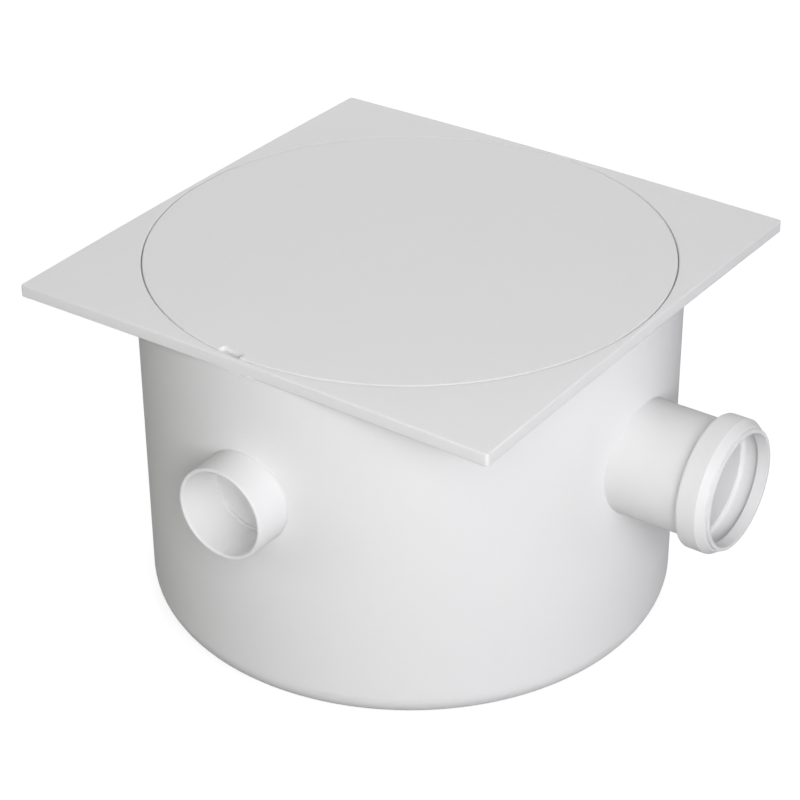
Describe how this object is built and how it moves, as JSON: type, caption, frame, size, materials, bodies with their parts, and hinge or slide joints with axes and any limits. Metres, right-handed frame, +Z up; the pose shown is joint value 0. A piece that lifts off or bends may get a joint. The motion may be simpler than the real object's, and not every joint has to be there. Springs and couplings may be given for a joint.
{
  "type": "gully trap",
  "caption": "Round floor gully trap with a square cover frame, a blind lid, side inlet sockets, a ring-seal outlet and a removable siphon.",
  "frame": {"origin": "on the pot's axis, at its underside", "axes": "+Z up along the pot's axis, +X along the outlet's axis pointing out of its mouth"},
  "size_m": [0.3165, 0.285, 0.172],
  "materials": {
    "pot_plastic": "smooth moulded white plastic, soft gloss",
    "cover_plastic": "fine matt moulded white plastic",
    "siphon_plastic": "moulded pale grey-white plastic",
    "seal_rubber": "black ring seal"
  },
  "bodies": {
    "root": {"body": "pot_plastic", "cover_frame": "cover_plastic", "lid": "cover_plastic", "siphon": "siphon_plastic", "siphon_ring": "seal_rubber", "cleaning_plug": "siphon_plastic", "plug_ring": "seal_rubber"}
  },
  "joints": []
}
